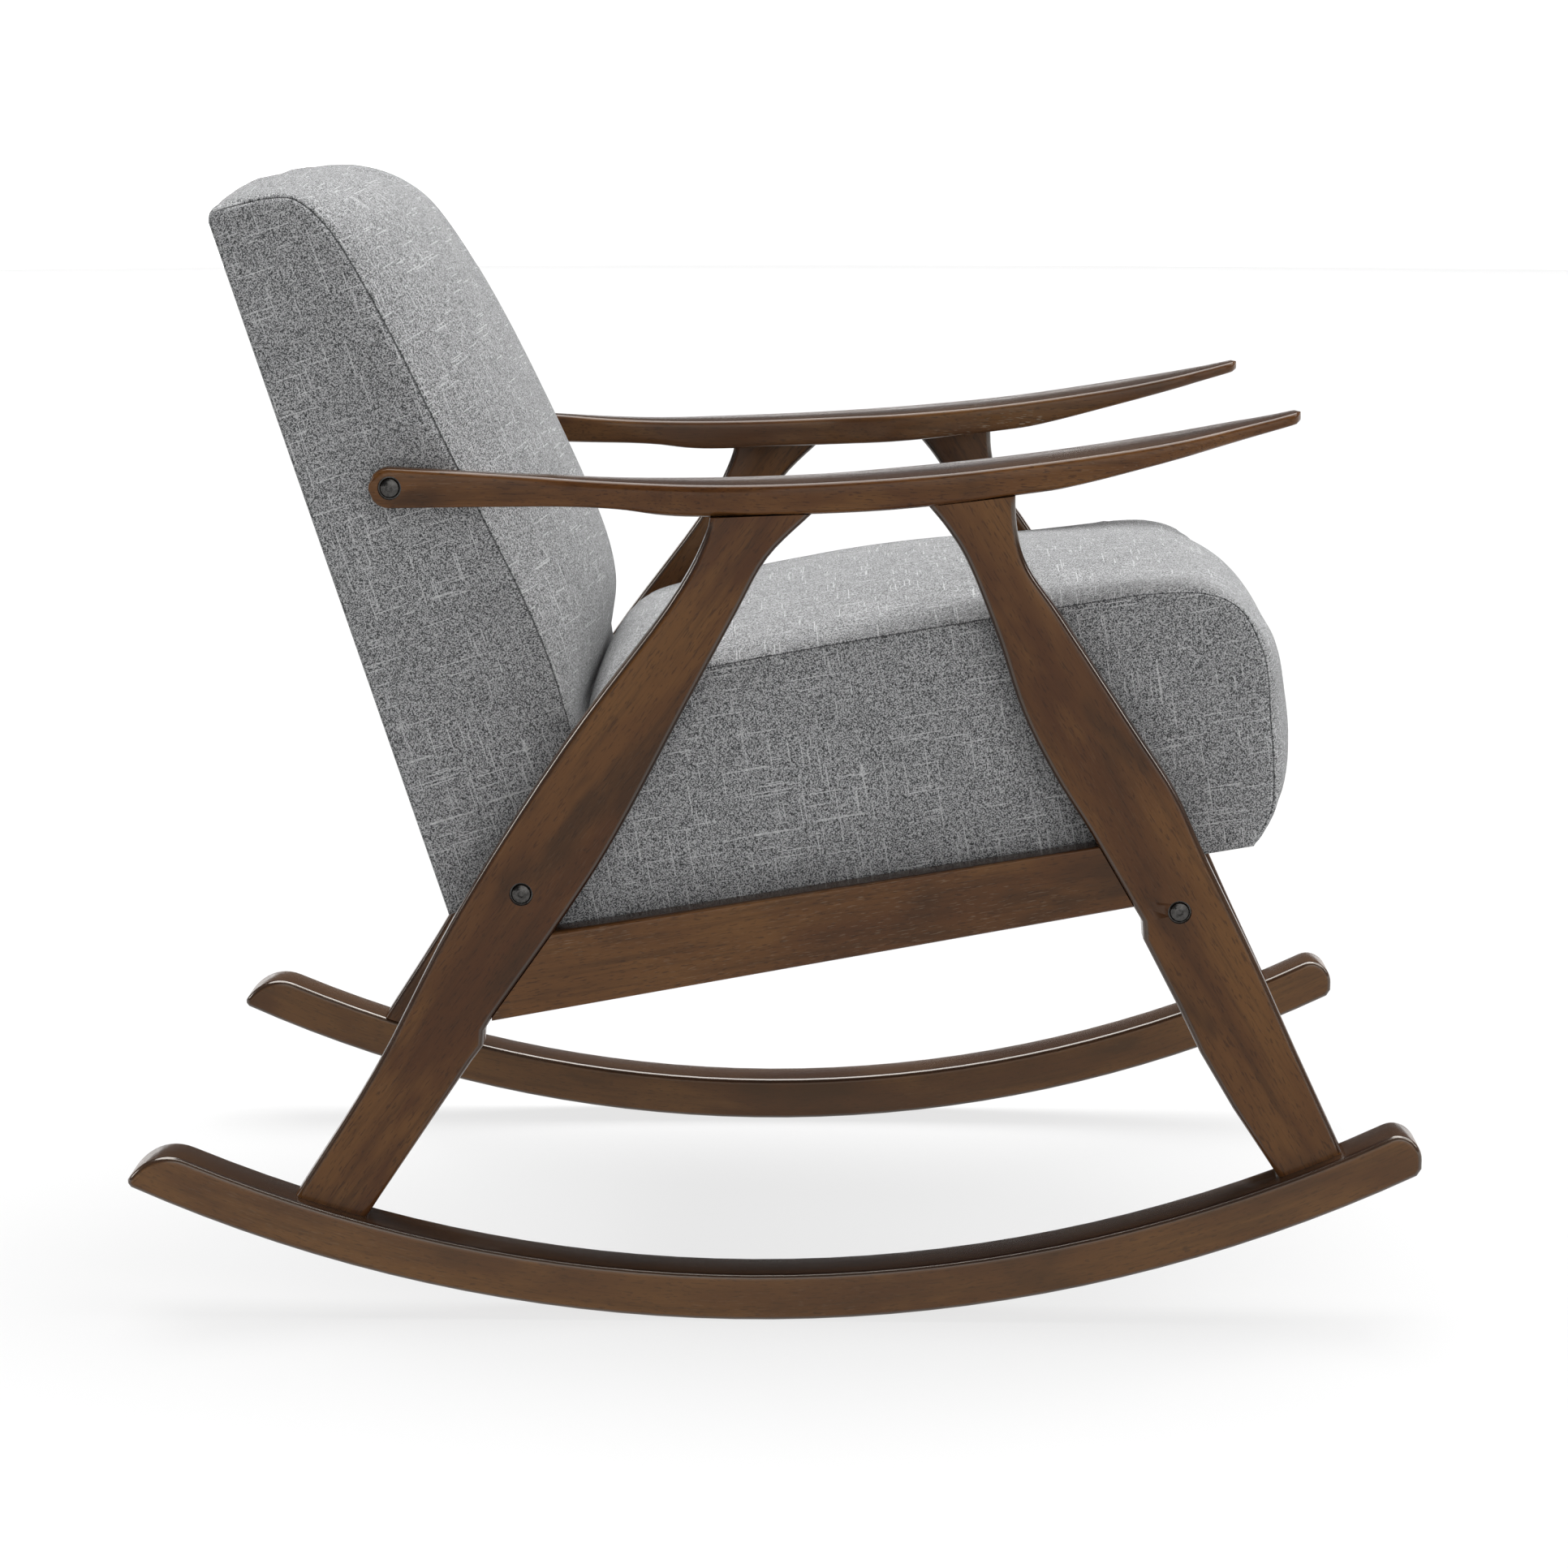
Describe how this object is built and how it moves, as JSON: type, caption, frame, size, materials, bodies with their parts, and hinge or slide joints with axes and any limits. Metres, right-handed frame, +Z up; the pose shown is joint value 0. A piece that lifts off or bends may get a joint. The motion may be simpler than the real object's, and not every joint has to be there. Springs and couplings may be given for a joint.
{
  "type": "rocking chair",
  "caption": "Upholstered rocking chair with curved wooden runners, splayed legs, slim sweeping arms and boxed seat and back cushions.",
  "frame": {"origin": "on the floor, under the middle of the chair's bounding box", "axes": "+Z up, -Y the way the sitter faces, +X the sitter's left"},
  "size_m": [0.632, 0.996, 0.8726],
  "materials": {
    "walnut_stained_wood": "semi-gloss lacquer over dark walnut stain",
    "pale_frame_wood": "sawn, unfinished",
    "grey_linen": "heathered mid-grey linen-look weave",
    "foam": "open-cell foam",
    "black_cloth": "matt black webbing and lining cloth",
    "dark_bolt_metal": "black oxide",
    "zinc_plated_steel": "zinc plated"
  },
  "bodies": {
    "root": {"rocker_right": "walnut_stained_wood", "rocker_left": "walnut_stained_wood", "rear_leg_right": "walnut_stained_wood", "rear_leg_left": "walnut_stained_wood", "front_leg_right": "walnut_stained_wood", "front_leg_left": "walnut_stained_wood", "side_rail_right": "walnut_stained_wood", "side_rail_left": "walnut_stained_wood", "arm_right": "walnut_stained_wood", "arm_left": "walnut_stained_wood", "foot_dowels": "pale_frame_wood", "arm_dowels": "pale_frame_wood", "rail_dowels": "pale_frame_wood", "front_stretcher": "walnut_stained_wood", "seat_side_rail_right": "pale_frame_wood", "seat_side_rail_left": "pale_frame_wood", "seat_front_rail": "pale_frame_wood", "seat_rear_rail": "pale_frame_wood", "seat_corner_blocks": "pale_frame_wood", "seat_webbing": "black_cloth", "seat_foam": "foam", "seat_cover": "grey_linen", "seat_dust_cover": "black_cloth", "back_stile_right": "pale_frame_wood", "back_stile_left": "pale_frame_wood", "back_top_rail": "pale_frame_wood", "back_bottom_rail": "pale_frame_wood", "back_webbing": "black_cloth", "back_foam": "foam", "back_cover": "grey_linen", "front_bolts": "dark_bolt_metal", "rear_bolts": "dark_bolt_metal", "arm_bolts": "dark_bolt_metal", "bolt_washers": "dark_bolt_metal", "threaded_inserts": "zinc_plated_steel", "stretcher_screws": "zinc_plated_steel", "back_screws": "zinc_plated_steel"}
  },
  "joints": []
}
